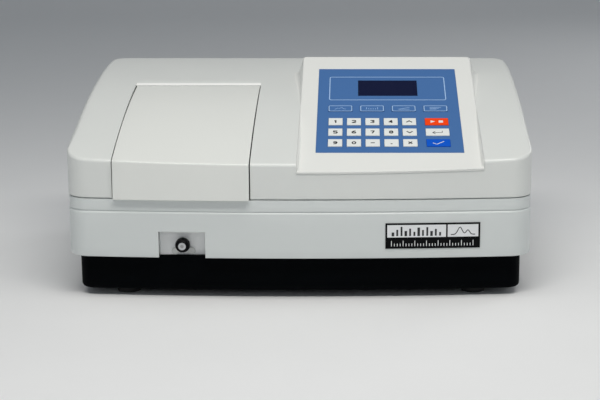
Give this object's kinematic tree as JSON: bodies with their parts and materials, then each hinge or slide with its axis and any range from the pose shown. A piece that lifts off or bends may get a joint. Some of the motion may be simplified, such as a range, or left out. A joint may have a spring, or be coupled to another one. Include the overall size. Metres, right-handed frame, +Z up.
{
  "type": "spectrophotometer",
  "caption": "Benchtop ultraviolet and visible spectrophotometer with a lidded sample compartment, sliding cuvette carriage, and sloping keypad console with display.",
  "frame": {"origin": "on the bench under the middle of the bounding box", "axes": "+Z up, front panel faces -Y, keypad console towards +X"},
  "size_m": [0.48, 0.3468, 0.2217],
  "materials": {
    "cover_plastic": "fine-textured light grey",
    "console_plastic": "fine-textured off-white",
    "base_paint": "textured black paint",
    "foot_rubber": "matt",
    "screw_steel": "zinc plated",
    "blue_film": "satin printed film",
    "dark_window": "polished",
    "board": "lacquered laminate",
    "white_key": "satin",
    "orange_key": "satin",
    "blue_key": "satin",
    "black_plastic": "matt moulded",
    "black_gloss": "gloss",
    "bright_steel": "ground",
    "black_aluminium": "black anodised",
    "cast_aluminium": "as cast, machined faces",
    "plated_sheet": "plated sheet",
    "optical_glass": "coated glass",
    "lamp_glass": "fused silica"
  },
  "bodies": {
    "housing": {"base_pan": "base_paint", "rubber_feet": "foot_rubber", "case_screws": "screw_steel", "lower_cover": "cover_plastic", "top_cover": "cover_plastic", "keypad_console": "console_plastic", "keypad_overlay": "blue_film", "display_window": "dark_window", "display_module": "board", "keypad_board": "board", "hinge_rod": "bright_steel", "nameplate": "black_gloss", "sample_well": "black_aluminium", "guide_screws": "screw_steel", "rear_panel": "base_paint", "power_inlet": "black_plastic", "switch_frame": "black_plastic", "data_port": "screw_steel", "fan_frame": "black_plastic", "fan_guard": "screw_steel", "optical_bench": "cast_aluminium", "monochromator": "black_aluminium", "stepper_motors": "plated_sheet", "fixed_optics": "optical_glass", "lamp_house": "plated_sheet", "source_lamps": "lamp_glass", "detector_housing": "black_aluminium", "main_board": "board", "power_supply": "plated_sheet"},
    "lid": {"sample_lid": "cover_plastic"},
    "carriage": {"cuvette_holder": "black_aluminium", "pull_rod": "bright_steel", "rod_knob": "black_plastic"},
    "power_switch": {"switch_rocker": "black_plastic"},
    "grating": {"grating_table": "optical_glass"},
    "filters": {"filter_wheel": "black_aluminium"},
    "source_mirror": {"lamp_mirror": "optical_glass"},
    "fan": {"fan_rotor": "black_plastic"},
    "key_1_cap": {"key_1": "white_key"},
    "key_2_cap": {"key_2": "white_key"},
    "key_3_cap": {"key_3": "white_key"},
    "key_4_cap": {"key_4": "white_key"},
    "key_5_cap": {"key_5": "white_key"},
    "key_6_cap": {"key_6": "white_key"},
    "key_7_cap": {"key_7": "white_key"},
    "key_8_cap": {"key_8": "white_key"},
    "key_9_cap": {"key_9": "white_key"},
    "key_0_cap": {"key_0": "white_key"},
    "key_minus_cap": {"key_minus": "white_key"},
    "key_point_cap": {"key_point": "white_key"},
    "key_up_cap": {"key_up": "white_key"},
    "key_down_cap": {"key_down": "white_key"},
    "key_clear_cap": {"key_clear": "white_key"},
    "key_start_cap": {"key_start": "orange_key"},
    "key_return_cap": {"key_return": "white_key"},
    "key_enter_cap": {"key_enter": "blue_key"},
    "function_key_1_cap": {"function_key_1": "blue_film"},
    "function_key_2_cap": {"function_key_2": "blue_film"},
    "function_key_3_cap": {"function_key_3": "blue_film"},
    "function_key_4_cap": {"function_key_4": "blue_film"}
  },
  "joints": [
    {"name": "lid_hinge", "type": "hinge", "parent": "housing", "child": "lid", "pos_m": [-0.1202, 0.026, 0.1842], "axis": [-1, 0, 0], "range_deg": [0, 75]},
    {"name": "carriage_slide", "type": "slide", "parent": "housing", "child": "carriage", "axis": [0, -1, 0], "range_m": [0, 0.045]},
    {"name": "power_rocker", "type": "hinge", "parent": "housing", "child": "power_switch", "pos_m": [-0.096, 0.165, 0.078], "axis": [1, 0, 0], "range_deg": [0, 16]},
    {"name": "grating_turn", "type": "hinge", "parent": "housing", "child": "grating", "pos_m": [0.095, -0.066, 0.09], "axis": [0, 0, 1], "range_deg": [-20, 40]},
    {"name": "filter_wheel_turn", "type": "hinge", "parent": "housing", "child": "filters", "pos_m": [0.028, 0.05, 0.098], "axis": [0, 1, 0], "continuous": true},
    {"name": "source_mirror_turn", "type": "hinge", "parent": "housing", "child": "source_mirror", "pos_m": [0.075, 0.0925, 0.06], "axis": [0, 0, 1], "range_deg": [0, 45]},
    {"name": "fan_spin", "type": "hinge", "parent": "housing", "child": "fan", "pos_m": [0.15, 0.157, 0.155], "axis": [0, 1, 0], "continuous": true},
    {"name": "key_1_press", "type": "slide", "parent": "housing", "child": "key_1_cap", "axis": [0, 0.3355, -0.9421], "range_m": [0, 0.0005], "stiffness_N_per_m": 2000, "springref_m": -0.0002},
    {"name": "key_2_press", "type": "slide", "parent": "housing", "child": "key_2_cap", "axis": [0, 0.3355, -0.9421], "range_m": [0, 0.0005], "stiffness_N_per_m": 2000, "springref_m": -0.0002},
    {"name": "key_3_press", "type": "slide", "parent": "housing", "child": "key_3_cap", "axis": [0, 0.3355, -0.9421], "range_m": [0, 0.0005], "stiffness_N_per_m": 2000, "springref_m": -0.0002},
    {"name": "key_4_press", "type": "slide", "parent": "housing", "child": "key_4_cap", "axis": [0, 0.3355, -0.9421], "range_m": [0, 0.0005], "stiffness_N_per_m": 2000, "springref_m": -0.0002},
    {"name": "key_5_press", "type": "slide", "parent": "housing", "child": "key_5_cap", "axis": [0, 0.3355, -0.9421], "range_m": [0, 0.0005], "stiffness_N_per_m": 2000, "springref_m": -0.0002},
    {"name": "key_6_press", "type": "slide", "parent": "housing", "child": "key_6_cap", "axis": [0, 0.3355, -0.9421], "range_m": [0, 0.0005], "stiffness_N_per_m": 2000, "springref_m": -0.0002},
    {"name": "key_7_press", "type": "slide", "parent": "housing", "child": "key_7_cap", "axis": [0, 0.3355, -0.9421], "range_m": [0, 0.0005], "stiffness_N_per_m": 2000, "springref_m": -0.0002},
    {"name": "key_8_press", "type": "slide", "parent": "housing", "child": "key_8_cap", "axis": [0, 0.3355, -0.9421], "range_m": [0, 0.0005], "stiffness_N_per_m": 2000, "springref_m": -0.0002},
    {"name": "key_9_press", "type": "slide", "parent": "housing", "child": "key_9_cap", "axis": [0, 0.3355, -0.9421], "range_m": [0, 0.0005], "stiffness_N_per_m": 2000, "springref_m": -0.0002},
    {"name": "key_0_press", "type": "slide", "parent": "housing", "child": "key_0_cap", "axis": [0, 0.3355, -0.9421], "range_m": [0, 0.0005], "stiffness_N_per_m": 2000, "springref_m": -0.0002},
    {"name": "key_minus_press", "type": "slide", "parent": "housing", "child": "key_minus_cap", "axis": [0, 0.3355, -0.9421], "range_m": [0, 0.0005], "stiffness_N_per_m": 2000, "springref_m": -0.0002},
    {"name": "key_point_press", "type": "slide", "parent": "housing", "child": "key_point_cap", "axis": [0, 0.3355, -0.9421], "range_m": [0, 0.0005], "stiffness_N_per_m": 2000, "springref_m": -0.0002},
    {"name": "key_up_press", "type": "slide", "parent": "housing", "child": "key_up_cap", "axis": [0, 0.3355, -0.9421], "range_m": [0, 0.0005], "stiffness_N_per_m": 2000, "springref_m": -0.0002},
    {"name": "key_down_press", "type": "slide", "parent": "housing", "child": "key_down_cap", "axis": [0, 0.3355, -0.9421], "range_m": [0, 0.0005], "stiffness_N_per_m": 2000, "springref_m": -0.0002},
    {"name": "key_clear_press", "type": "slide", "parent": "housing", "child": "key_clear_cap", "axis": [0, 0.3355, -0.9421], "range_m": [0, 0.0005], "stiffness_N_per_m": 2000, "springref_m": -0.0002},
    {"name": "key_start_press", "type": "slide", "parent": "housing", "child": "key_start_cap", "axis": [0, 0.3355, -0.9421], "range_m": [0, 0.0005], "stiffness_N_per_m": 2000, "springref_m": -0.0002},
    {"name": "key_return_press", "type": "slide", "parent": "housing", "child": "key_return_cap", "axis": [0, 0.3355, -0.9421], "range_m": [0, 0.0005], "stiffness_N_per_m": 2000, "springref_m": -0.0002},
    {"name": "key_enter_press", "type": "slide", "parent": "housing", "child": "key_enter_cap", "axis": [0, 0.3355, -0.9421], "range_m": [0, 0.0005], "stiffness_N_per_m": 2000, "springref_m": -0.0002},
    {"name": "function_key_1_press", "type": "slide", "parent": "housing", "child": "function_key_1_cap", "axis": [0, 0.3355, -0.9421], "range_m": [0, 0.0005], "stiffness_N_per_m": 2000, "springref_m": -0.0002},
    {"name": "function_key_2_press", "type": "slide", "parent": "housing", "child": "function_key_2_cap", "axis": [0, 0.3355, -0.9421], "range_m": [0, 0.0005], "stiffness_N_per_m": 2000, "springref_m": -0.0002},
    {"name": "function_key_3_press", "type": "slide", "parent": "housing", "child": "function_key_3_cap", "axis": [0, 0.3355, -0.9421], "range_m": [0, 0.0005], "stiffness_N_per_m": 2000, "springref_m": -0.0002},
    {"name": "function_key_4_press", "type": "slide", "parent": "housing", "child": "function_key_4_cap", "axis": [0, 0.3355, -0.9421], "range_m": [0, 0.0005], "stiffness_N_per_m": 2000, "springref_m": -0.0002}
  ]
}
